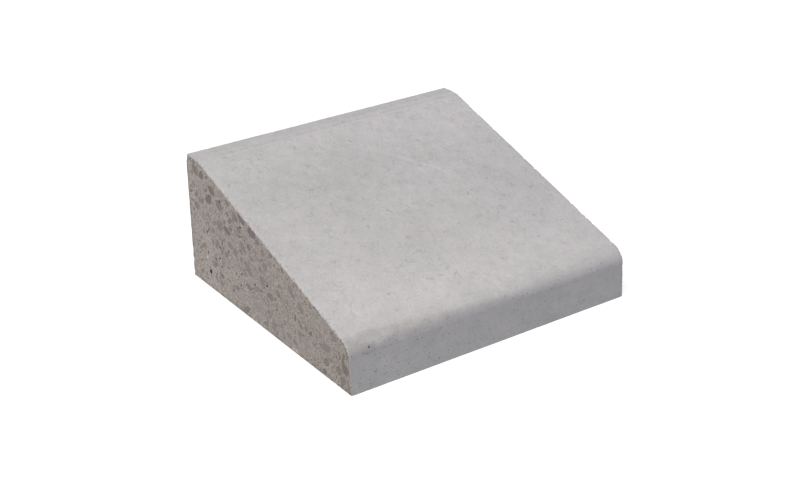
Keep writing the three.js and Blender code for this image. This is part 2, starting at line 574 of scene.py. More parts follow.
# %% [markdown]
# ## The cast skin: wide soft patches
# Over the whole slope the cement dried a few hundredths paler in some places and duller in
# others, and a trace paler towards the back right. Each patch is an oval, and a wide noise bends
# its outline. They stop at the nose, which has a stain of its own.

# %% Cast skin: wide soft patches
PATCHES = (  # x and y of the middle, half length and half width in mm, how much paler
    (-45, 55, 170, 70, -0.09),
    (-45, -50, 115, 80, -0.08),
    (70, -125, 170, 60, 0.06),
    (140, 0, 170, 110, -0.07),
    (-85, -90, 155, 105, 0.11),
    (-40, -114, 190, 20, 0.04),
)
PALER_PER_MM = (0.00020, 0.00017, 0.0)
LEVEL = 0.98  # what the grey is multiplied by where there is no patch
bend = add(tree, "TexNoise", {"Vector": mm, "Scale": 1 / 50, "Detail": 2.0}, out="Color")
bend = add(tree, "VectorMath", {0: bend, 1: (0.5, 0.5, 0.5)}, operation="SUBTRACT")
bend = add(tree, "VectorMath", {0: bend, 1: (60, 60, 0), 2: mm}, operation="MULTIPLY_ADD")
paler = add(tree, "VectorMath", {0: mm, 1: PALER_PER_MM}, out="Value", operation="DOT_PRODUCT")
for middle_x, middle_y, half_length, half_width, amount in PATCHES:
    patch = oval(tree, bend, (middle_x, middle_y, 0), (half_length, half_width, HUGE))
    patch = add(tree, "MapRange", {0: patch, 4: amount}, interpolation_type="SMOOTHSTEP")
    paler = add(tree, "Math", {0: paler, 1: patch}, operation="ADD")
on_slope = add(tree, "MapRange", {0: y, 1: low[1] + 8, 2: low[1] + 18})
paler = add(tree, "Math", {0: paler, 1: on_slope, 2: LEVEL}, operation="MULTIPLY_ADD")
paler = add(tree, "CombineColor", {0: paler, 1: paler, 2: paler})
skin_colour = add(tree, "Mix", {0: 1.0, 6: skin_colour, 7: paler}, **TINT)

# %% [markdown]
# ## The cast skin: the level strip
# The level strip along the back is a little duller and blends softly into the slope. Towards the
# crest it is darker still, most of all at the right: painted shade along the crest. Just below the
# blend runs a faint pale line, wavy and broken: a painted highlight along the break from the slope
# to the strip.

# %% Cast skin: the level strip
STRIP_EDGE = high[1] - 26.0
LINE_BELOW, LINE_WAVES = 5.5, 6.0  # mm in front of the strip's edge, and how far it wanders
on_strip = add(tree, "MapRange", {0: y, 1: STRIP_EDGE - 8, 2: STRIP_EDGE + 5},
               interpolation_type="SMOOTHSTEP")
# painted shade along the crest: it grows towards the crest, and more so towards the right
crest_shade = add(tree, "MapRange", {0: y, 1: high[1] - 23, 2: high[1] - 14},
               interpolation_type="SMOOTHSTEP")
shade_to_right = add(tree, "MapRange", {0: x, 1: low[0], 2: 100.0, 3: 0.3, 4: 1.0})
crest_shade = add(tree, "Math", {0: crest_shade, 1: shade_to_right}, operation="MULTIPLY")
# the strip's duller tone, and on top of it the painted shade along the crest
strip = add(tree, "Mix", {0: crest_shade, 6: linear("#f3f3f3"), 7: linear("#e9e9e9")}, **BLEND)
skin_colour = add(tree, "Mix", {0: on_strip, 6: skin_colour, 7: strip}, **TINT)

# a painted highlight: a faint pale line along the break from the slope to the strip
waver = add(tree, "TexNoise", {"W": x, "Scale": 1 / 45, "Detail": 3.0}, noise_dimensions="1D")
highlight_line = add(tree, "Math", {0: waver, 1: -LINE_WAVES, 2: y}, operation="MULTIPLY_ADD")
highlight_line = add(tree, "Math", {0: highlight_line, 1: STRIP_EDGE - LINE_BELOW}, operation="SUBTRACT")
highlight_line = add(tree, "Math", {0: highlight_line}, operation="ABSOLUTE")
highlight_line = add(tree, "MapRange", {0: highlight_line, 1: 0.2, 2: 1.3, 3: 0.36, 4: 0.0})
kept = add(tree, "MapRange", {0: mottle, 1: 0.42, 2: 0.58})
highlight_line = add(tree, "Math", {0: highlight_line, 1: kept}, operation="MULTIPLY")
skin_colour = add(tree, "Mix", {0: highlight_line, 6: skin_colour, 7: linear("#dcdada")}, **BLEND)

# %% [markdown]
# ## The cast skin: hairlines
# Look closely at a cast face and it is full of faint hairlines, about 10 mm long and a little
# bent. Each is a dash through the point of a Voronoi cell: the part of the cell that lies near
# a plane through that point, and not too far along it. The cell's random colour tilts the plane
# and sets the dash's strength, so no two are alike, and a noise bends them all. They are fainter
# on the upright faces and where the slope starts, behind the nose.

# %% Cast skin: hairlines
HAIRLINES = (  # cell size, half length and half width in mm, colour, strength
    (10.0, 7.5, 0.80, "#8c8789", 0.62),
    (7.0, 4.5, 0.70, "#969193", 0.56),
    (11.0, 6.0, 1.40, "#969193", 0.44),
    (13.0, 7.5, 1.10, "#e4e1e1", 0.26),
    (17.0, 7.0, 3.20, "#e4e1e1", 0.16),
)
wobble = add(tree, "TexNoise", {"Vector": mm, "Scale": 1 / 7, "Detail": 2.0}, out="Color")
wobble = add(tree, "VectorMath", {0: wobble, 1: (12, 12, 12), 2: mm}, operation="MULTIPLY_ADD")
fainter = add(tree, "MapRange", {0: upright, 3: 0.97, 4: 0.6})
smoother = add(tree, "MapRange", {0: y, 1: low[1] + 8, 2: low[1] + 55, 3: 0.55, 4: 1.0})
for k, (cell_size, half_length, half_width, tint, strength) in enumerate(HAIRLINES):
    moved = add(tree, "VectorMath", {0: wobble, 1: (37.0 * k, 11.0 * k, 5.0 * k)}, operation="ADD")
    cell = add(tree, "TexVoronoi", {"Vector": moved, "Scale": 1 / cell_size}).node.outputs
    arm = add(tree, "VectorMath", {0: moved, 1: cell["Position"]}, operation="SUBTRACT")
    reach = add(tree, "VectorMath", {0: arm}, out="Value", operation="LENGTH")
    end = add(tree, "MapRange", {0: reach, 1: 0.4 * half_length, 2: half_length, 3: 1.0, 4: 0.0})
    tilt = add(tree, "VectorMath", {0: cell["Color"], 1: (0.5, 0.5, 0.5)}, operation="SUBTRACT")
    tilt = add(tree, "VectorMath", {0: tilt, 1: (1.0, 0.55, 1.0)}, operation="MULTIPLY")
    tilt = add(tree, "VectorMath", {0: tilt}, operation="NORMALIZE")
    off_plane = add(tree, "VectorMath", {0: arm, 1: tilt}, out="Value", operation="DOT_PRODUCT")
    off_plane = add(tree, "Math", {0: off_plane}, operation="ABSOLUTE")
    line = add(tree, "MapRange", {0: off_plane, 1: 0.0, 2: half_width, 3: 1.0, 4: 0.0})
    chance = add(tree, "SeparateColor", {0: cell["Color"]}, out=2)
    faint = add(tree, "Math", {0: chance, 1: 2.0}, operation="POWER")
    faint = add(tree, "Math", {0: faint, 1: strength}, operation="MULTIPLY")
    dash = add(tree, "Math", {0: line, 1: end}, operation="MULTIPLY")
    for part in (faint, fainter, smoother):
        dash = add(tree, "Math", {0: dash, 1: part}, operation="MULTIPLY")
    skin_colour = add(tree, "Mix", {0: dash, 6: skin_colour, 7: linear(tint)}, **BLEND)

# %% [markdown]
# ## The cast skin: specks and pinholes
# Small grey specks lie just under the skin, where a sand grain shows through, and pinholes too
# small to model pepper the steep faces, fewer of them towards the right. The pinholes are painted
# dark, partly as dirt and partly as painted shade inside them. Both are dots about the points of a
# Voronoi pattern, chosen by the cell's random colour. The pinholes' pattern is flat and is laid
# over the faces as if they were unrolled, so that each dot shows at its full size.

# %% Cast skin: specks and pinholes
DOTS = (  # cell size, radius and soft rim in mm, share on the flat and on the steep, colour, strength
    (13.0, 0.4, 3.0, 0.16, 0.20, "#959193", 0.45),
    # the two pinhole rows: dark dots, partly dirt and partly painted shade inside the pinholes
    (6.0, 0.38, 0.30, 0.003, 0.46, "#38312e", 1.0),
    (11.0, 0.40, 0.35, 0.03, 0.16, "#5c3f36", 0.80),
)
steep = add(tree, "MapRange", {0: y, 1: low[1] + 9, 2: low[1] + 2})
back_steep = add(tree, "MapRange", {0: y, 1: high[1] - 8, 2: high[1] - 2})
steep = add(tree, "Math", {0: steep, 1: back_steep}, operation="MAXIMUM")
fewer = add(tree, "MapRange", {0: x, 1: low[0], 2: 40.0, 3: 1.0, 4: 0.35})
steep = add(tree, "Math", {0: steep, 1: fewer}, operation="MULTIPLY")
unrolled = add(tree, "Math", {0: z, 1: y}, operation="ADD")
unrolled = add(tree, "CombineXYZ", {0: x, 1: unrolled})
for k, (cell_size, radius, rim, flat_share, steep_share, tint, strength) in enumerate(DOTS):
    where, dimensions = (wobble, "3D") if k == 0 else (unrolled, "2D")
    moved = add(tree, "VectorMath", {0: where, 1: (31.0 * k, 53.0 * k, 0.0)}, operation="ADD")
    cell = add(tree, "TexVoronoi", {"Vector": moved, "Scale": 1 / cell_size},
               voronoi_dimensions=dimensions)
    chance = add(tree, "SeparateColor", {0: cell.node.outputs["Color"]})
    likely = add(tree, "MapRange", {0: steep, 3: flat_share, 4: steep_share})
    chosen = add(tree, "Math", {0: chance, 1: likely}, operation="LESS_THAN")
    dot = add(tree, "MapRange", {0: cell, 1: radius / cell_size, 2: (radius + rim) / cell_size,
                                 3: strength, 4: 0.0})
    for part in (chosen, chance.node.outputs[1]):
        dot = add(tree, "Math", {0: dot, 1: part}, operation="MULTIPLY")
    skin_colour = add(tree, "Mix", {0: dot, 6: skin_colour, 7: linear(tint)}, **BLEND)

# %% [markdown]
# ## The cast skin: the upright faces
# The upright faces are a little duller than the slope, with cloudy patches drawn out sideways,
# as slurry spread along the wall of the mould.

# %% Cast skin: upright faces
drawn_out = add(tree, "Mapping", {0: mm, "Scale": (0.45, 1.0, 1.0)})
smears = add(tree, "TexNoise", {"Vector": drawn_out, "Scale": 1 / 13, "Detail": 3.0})
smears = add(tree, "MapRange", {0: smears, 1: 0.3, 2: 0.7})
washed = add(tree, "Mix", {0: smears, 6: linear("#f6f7f7"), 7: WHITE}, **BLEND)
skin_colour = add(tree, "Mix", {0: upright, 6: skin_colour, 7: washed}, **TINT)

# %% [markdown]
# ## The cast skin: the tide line
# Where the nose turns into the front, wet slurry left a faint wavy line. It is highest a little
# left of the middle, and plainest at the right. Above it the nose has a warm and patchy stain,
# most of all at the left end.

# %% Cast skin: the height of the tide line, and the stain above it
HUMP_MIDDLE, HUMP_HALF = -45.0, 115.0  # mm, where the line is highest, and how far it falls away
HUMP_TOP, HUMP_FOOT = 37.5, 32.0  # mm, its height there and at its foot
LINE_RISES = 6.0  # mm that it rises above that in waves
tide = add(tree, "TexNoise", {"W": x, "Scale": 1 / 34, "Detail": 3.0}, noise_dimensions="1D")
hump = add(tree, "Math", {0: x, 1: HUMP_MIDDLE}, operation="SUBTRACT")
hump = add(tree, "Math", {0: hump}, operation="ABSOLUTE")
hump = add(tree, "MapRange", {0: hump, 1: 0.0, 2: HUMP_HALF, 3: HUMP_TOP, 4: HUMP_FOOT},
           interpolation_type="SMOOTHSTEP")
tide = add(tree, "Math", {0: tide, 1: LINE_RISES, 2: hump}, operation="MULTIPLY_ADD")
above = add(tree, "Math", {0: z, 1: tide}, operation="SUBTRACT")
at_front = add(tree, "MapRange", {0: y, 1: low[1] + 12, 2: low[1] + 18, 3: 1.0, 4: 0.0})
more_at_left = add(tree, "MapRange", {0: x, 1: -150.0, 2: 100.0, 3: 1.2, 4: 0.0})
below_slope = add(tree, "Math", {0: x, 1: 0.05, 2: z}, operation="MULTIPLY_ADD")
below_slope = add(tree, "MapRange", {0: below_slope, 1: 44.5, 2: 48.5, 3: 1.0, 4: 0.0})
patchy = add(tree, "MapRange", {0: mottle, 1: 0.30, 2: 0.62, 3: 0.35, 4: 1.0})
stain = add(tree, "MapRange", {0: above, 1: -0.5, 2: 3.5})
for part in (more_at_left, below_slope, at_front, patchy):
    stain = add(tree, "Math", {0: stain, 1: part}, operation="MULTIPLY")
skin_colour = add(tree, "Mix", {0: stain, 6: skin_colour, 7: linear("#ecebea")}, **TINT)

# %% Cast skin: the tide line itself
plainer = add(tree, "MapRange", {0: x, 1: 30.0, 2: 150.0, 3: 0.14, 4: 0.42})
broken_up = add(tree, "MapRange", {0: smears, 1: 0.35, 2: 0.80})
line = add(tree, "Math", {0: above}, operation="ABSOLUTE")
line = add(tree, "MapRange", {0: line, 1: 0.3, 2: 1.1, 3: 1.0, 4: 0.0})
for part in (at_front, broken_up, plainer):
    line = add(tree, "Math", {0: line, 1: part}, operation="MULTIPLY")
skin_colour = add(tree, "Mix", {0: line, 6: skin_colour, 7: linear("#8b8788")}, **BLEND)

# %% [markdown]
# ## The cast skin: smears on the front
# Low on the front, towards the right end, the cement is paler, and a short pale streak lies
# there where a wet trowel touched it. The lower left of the nose is duller. All three are ovals,
# and the mottle bends them up and down.

# %% Cast skin: smears on the front
SMEARS = (  # x and z of the middle, half length and half height in mm, turn in degrees, paler by
    (135, 8, 70, 17, 0, 0.06),
    (117, 15, 24, 1.8, 1, 0.10),
    (-62, 43, 120, 9, 0, -0.17),
)
SMEAR_DEPTH = 8.0  # mm that a smear reaches back from the front
BENT_BY = 6.0  # mm, up and down together
curved = add(tree, "Math", {0: mottle, 1: BENT_BY, 2: z}, operation="MULTIPLY_ADD")
curved = add(tree, "Math", {0: curved, 1: BENT_BY / 2}, operation="SUBTRACT")
curved = add(tree, "CombineXYZ", {0: x, 1: y, 2: curved})
paler = 1.0
for middle_x, middle_z, half_length, half_height, turn, amount in SMEARS:
    smear = oval(tree, curved, (middle_x, low[1], middle_z), (half_length, SMEAR_DEPTH, half_height),
                 (0, math.radians(-turn), 0))
    paler = add(tree, "Math", {0: smear, 1: amount, 2: paler}, operation="MULTIPLY_ADD")
paler = add(tree, "CombineColor", {0: paler, 1: paler, 2: paler})
skin_colour = add(tree, "Mix", {0: 1.0, 6: skin_colour, 7: paler}, **TINT)

# %% [markdown]
# ## The cast skin: a scuff
# One pale scuff runs down the slope, where something was dragged over it. The pattern's place
# is moved to the scuff's upper end and turned in line with it. It narrows on its way down.

# %% Cast skin: the scuff
SCUFF_FROM, SCUFF_TO = np.array([30.7, 62.9]), np.array([75.0, 15.7])  # x and y in mm
SCUFF_HALF_WIDTHS = (3.8, 1.4)  # mm at its upper and lower end
SCUFF_BEND = 7.0  # mm, to both sides together
scuff_length = float(np.linalg.norm(SCUFF_TO - SCUFF_FROM))
turn = math.atan2(*(SCUFF_TO - SCUFF_FROM)[::-1])
along = add(tree, "VectorMath", {0: mm, 1: (*SCUFF_FROM, 0.0)}, operation="SUBTRACT")
along = add(tree, "VectorRotate", {0: along, "Angle": -turn}, rotation_type="Z_AXIS")
along = add(tree, "SeparateXYZ", {0: along})
beside = add(tree, "Math", {0: mottle, 1: SCUFF_BEND, 2: along.node.outputs[1]},
             operation="MULTIPLY_ADD")
beside = add(tree, "Math", {0: beside, 1: SCUFF_BEND / 2}, operation="SUBTRACT")
beside = add(tree, "Math", {0: beside}, operation="ABSOLUTE")
half_wide = add(tree, "MapRange", {0: along, 1: 0.0, 2: scuff_length,
                                   3: SCUFF_HALF_WIDTHS[0], 4: SCUFF_HALF_WIDTHS[1]})
beside = add(tree, "MapRange", {0: beside, 1: 0.0, 2: half_wide, 3: 1.0, 4: 0.0})
within = add(tree, "Math", {0: along, 1: scuff_length / 2}, operation="SUBTRACT")
within = add(tree, "Math", {0: within}, operation="ABSOLUTE")
within = add(tree, "MapRange", {0: within, 1: scuff_length / 2 - 16, 2: scuff_length / 2 + 5,
                                3: 0.30, 4: 0.0})
scuff = add(tree, "Math", {0: beside, 1: within}, operation="MULTIPLY")
skin_colour = add(tree, "Mix", {0: scuff, 6: skin_colour, 7: linear("#e2e0e0")}, **BLEND)

# %% [markdown]
# ## The cast skin: where it is broken
# The blowholes are painted dark, partly as dirt and partly as painted shade inside them, and where
# an arris is chipped the raw mortar shows. Along a sawn arris the skin is worn a trace darker over
# 3 mm, and here and there a small grain has gone, up to about a millimetre from the cut. All of it
# follows what was done to the mesh, through its three attributes.

# %% Cast skin: holes and chips
pitted_here = add(tree, "Attribute", out="Fac", attribute_name="pitted")
broken_here = add(tree, "Attribute", out="Fac", attribute_name="broken")
to_rim = add(tree, "Attribute", out="Fac", attribute_name="from_arris")
# the blowholes darkened by their depth: partly dirt, partly painted shade inside them
hole_dirt_and_shade = add(tree, "MapRange", {0: pitted_here, 1: 0.08, 2: 0.34, 3: 0.0, 4: 0.90})
raw = add(tree, "MapRange", {0: broken_here, 1: 0.12, 2: 0.35})
rubbed = add(tree, "MapRange", {0: to_rim, 1: 0.0, 2: 3.0, 3: 0.10, 4: 0.0})
missing = add(tree, "TexNoise", {"Vector": mm, "Scale": 1 / 3.5, "Detail": 2.0})
missing = add(tree, "MapRange", {0: missing, 1: 0.53, 2: 0.70, 3: -0.3, 4: 1.4})  # mm from the cut
missing = add(tree, "Math", {0: missing, 1: to_rim}, operation="SUBTRACT")
missing = add(tree, "MapRange", {0: missing, 1: -0.15, 2: 0.15, 3: 0.0, 4: 0.75})
for mask, tint in ((hole_dirt_and_shade, "#4d433e"), (raw, "#aca099"), (rubbed, "#958f8d"), (missing, "#958a84")):
    skin_colour = add(tree, "Mix", {0: mask, 6: skin_colour, 7: linear(tint)}, **BLEND)
tree.links.new(skin_colour, shader.inputs["Base Color"])

relief = add(tree, "Math", {0: mottle, 1: 0.06}, operation="MULTIPLY")  # in mm
relief = add(tree, "Math", {0: grain, 1: 0.05, 2: relief}, operation="MULTIPLY_ADD")
bump = add(tree, "Bump", {"Height": relief, "Distance": MM, "Strength": 1.0})
tree.links.new(bump, shader.inputs["Normal"])

# %% [markdown]
# ## The sawn ends: mortar and sand
# A diamond saw cuts mortar and stones alike, so an end is a flat picture of what is inside. The
# mortar is a warm grey full of sand, a little darker towards the thin front and a little paler in
# three wide places. Each sand grain is a cell of a fine Voronoi pattern with its own tone; some
# are dark and a few are white quartz. A noise makes the tone warmer here and cooler there.

# %% Sawn end: mortar and sand
SAND_WEIGHTS = (0.25, 0.58, 1.22)  # of the wide patches, the sand and the grit
PALER_PLACES = (  # y and z of the middle, half length and half height in mm, how much paler
    (95, 25, 50, 45, 0.14),
    (140, 80, 22, 55, 0.08),
    (-115, 8, 28, 16, 0.14),
)
ODD_GRAINS = (  # the sand's random number from where a grain starts to where it is full, colour
    (0.90, 0.91, "#6c605a"),
    (0.03, 0.01, "#ddd5cd"),
)
tree, shader, mm = begin("sawn concrete, aggregate exposed", 0.78)
wobble = add(tree, "TexNoise", {"Vector": mm, "Scale": 1 / 2.6, "Detail": 2.0}, out="Color")
wobble = add(tree, "VectorMath", {0: wobble, 1: (1.1, 1.1, 1.1), 2: mm}, operation="MULTIPLY_ADD")
patches = add(tree, "TexNoise", {"Vector": mm, "Scale": 1 / 35, "Detail": 2.0})
grit = add(tree, "TexNoise", {"Vector": mm, "Scale": 1 / 1.2, "Detail": 3.0, "Roughness": 0.65})
sand = add(tree, "TexVoronoi", {"Vector": wobble, "Scale": 1 / 1.5}, out="Color")
sand = add(tree, "SeparateColor", {0: sand})
layers = add(tree, "CombineXYZ", {0: patches, 1: sand, 2: grit})
tone = add(tree, "VectorMath", {0: layers, 1: SAND_WEIGHTS}, out="Value", operation="DOT_PRODUCT")
tone = add(tree, "Math", {0: tone, 1: 1.0 - sum(SAND_WEIGHTS) / 2}, operation="ADD")
for middle_y, middle_z, half_length, half_height, amount in PALER_PLACES:
    near = oval(tree, mm, (0, middle_y, middle_z), (HUGE, half_length, half_height))
    tone = add(tree, "Math", {0: near, 1: amount, 2: tone}, operation="MULTIPLY_ADD")
grey = add(tree, "CombineColor", {0: tone, 1: tone, 2: tone})
tinge = add(tree, "TexNoise", {"Vector": mm, "Scale": 1 / 5, "Detail": 3.0})
tinge = add(tree, "Mix", {0: tinge, 6: linear("#fffbf6"), 7: linear("#f7fcff")}, **BLEND)
grey = add(tree, "Mix", {0: 1.0, 6: grey, 7: tinge}, **TINT)

to_front = add(tree, "VectorMath", {0: mm, 1: (0.0, -1.0, 0.6)}, out="Value", operation="DOT_PRODUCT")
to_front = add(tree, "MapRange", {0: to_front, 1: low[1], 2: high[1] + 20})
mortar = add(tree, "Mix", {0: to_front, 6: linear("#bdb3ad"), 7: linear("#b1a69f")}, **BLEND)
sawn_colour = add(tree, "Mix", {0: 1.0, 6: mortar, 7: grey}, **TINT)
for start, end, tint in ODD_GRAINS:
    odd = add(tree, "MapRange", {0: sand, 1: start, 2: end, 3: 0.0, 4: 0.7})
    sawn_colour = add(tree, "Mix", {0: odd, 6: sawn_colour, 7: linear(tint)}, **BLEND)

# %% [markdown]
# ## The sawn ends: small stones
# Packed crushed rock breaks into angular blocks, much like the cells of a Voronoi pattern. A
# stone is such a cell, cut back from its neighbours by a random margin, so that mortar shows
# between them. Three sizes are laid one over another, each turned its own way. Every stone
# keeps a pale rim of cement round itself, which hides any smaller stone there. The right end
# has more of them, because the larger stones of the left end are placed in the next step.

# %% Sawn end: how a stone is laid
RIM = 0.7  # mm of cement round a stone
NO_STONE = -99.0  # mm inside, so far outside any
rim_colour = add(tree, "Mix", {0: 0.16, 6: sawn_colour, 7: linear("#d6cdc6")}, **BLEND)
spread = add(tree, "SeparateXYZ", {0: mm})
x, y, z = spread, spread.node.outputs[1], spread.node.outputs[2]
at_right = add(tree, "Math", {0: x, 1: 0.0}, operation="GREATER_THAN")


def lay_stones(under, depth_in, tint):
    """Lays stones over the colour 'under', with their rims. 'depth_in' is how far inside a stone
    a point is, in mm. Gives back the new colour and where the stones are."""
    here = add(tree, "MapRange", {0: depth_in, 1: 0.0, 2: 0.2})
    rim = add(tree, "MapRange", {0: depth_in, 1: -RIM, 2: -RIM + 0.3})
    stone = add(tree, "Mix", {0: 0.45, 6: tint, 7: grey}, **TINT)
    under = add(tree, "Mix", {0: rim, 6: under, 7: rim_colour}, **BLEND)
    return add(tree, "Mix", {0: here, 6: under, 7: stone}, **BLEND), here


# %% Sawn end: small stones
STONE_TONES = ("#887e7a", "#928985", "#968d88", "#9b9491", "#98908b", "#a39f9c", "#a69f9a", "#b0a9a5")
STONE_LAYERS = (  # size in mm, share that is stone, stretch, turn, least and most cut back in mm
    (5.0, 0.06, (1.0, 0.85, 1.15), (0.3, 0.9, 0.4), (0.3, 1.0)),
    (7.6, 0.12, (1.0, 0.80, 1.20), (1.1, 0.4, 0.8), (0.4, 1.5)),
    (11.5, 0.06, (1.0, 1.15, 0.85), (0.2, 1.1, 2.6), (0.5, 2.2)),
)
MORE_AT_RIGHT = 0.34  # added to the share that is stone
stone_here = 0.0
for k, (size, usual, stretch, turn, (least, most)) in enumerate(STONE_LAYERS):
    laid = add(tree, "Mapping", {0: wobble, "Location": (43.0 * k, 7.0, 19.0), "Rotation": turn,
                                 "Scale": stretch})
    cell = add(tree, "TexVoronoi", {"Vector": laid, "Scale": 1 / size}, out="Color")
    edge = add(tree, "TexVoronoi", {"Vector": laid, "Scale": 1 / size}, feature="DISTANCE_TO_EDGE")
    chance = add(tree, "SeparateColor", {0: cell})
    margin = add(tree, "MapRange", {0: chance, 3: least, 4: most})
    depth_in = add(tree, "Math", {0: edge, 1: size, 2: -least}, operation="MULTIPLY_ADD")
    depth_in = add(tree, "Math", {0: depth_in, 1: margin}, operation="SUBTRACT")
    likely = add(tree, "Math", {0: at_right, 1: MORE_AT_RIGHT, 2: usual}, operation="MULTIPLY_ADD")
    absent = add(tree, "Math", {0: chance.node.outputs[1], 1: likely}, operation="GREATER_THAN")
    depth_in = add(tree, "Math", {0: absent, 1: NO_STONE, 2: depth_in}, operation="MULTIPLY_ADD")
    palette = add(tree, "ValToRGB", {0: chance.node.outputs[2]})
    palette.node.color_ramp.interpolation = "CONSTANT"
    stops = palette.node.color_ramp.elements
    for n, tint in enumerate(STONE_TONES):
        stop = stops[n] if n < 2 else stops.new(1.0)
        stop.position, stop.color = n / len(STONE_TONES), linear(tint)
    sawn_colour, here = lay_stones(sawn_colour, depth_in, palette)
    stone_here = add(tree, "Math", {0: stone_here, 1: here}, operation="MAXIMUM")

# %% [markdown]
# ## The sawn ends: the larger stones of the left end
# Which stones a cut meets is chance, and the left end is the one that is seen most. So its
# larger stones are placed one by one, tone by tone. Each starts as an oval, turned and sized.
# Crushed rock has corners, so the place that the oval is measured from is drawn part of the way
# to the middle of a small Voronoi cell: the outline then follows the cells' straight sides.

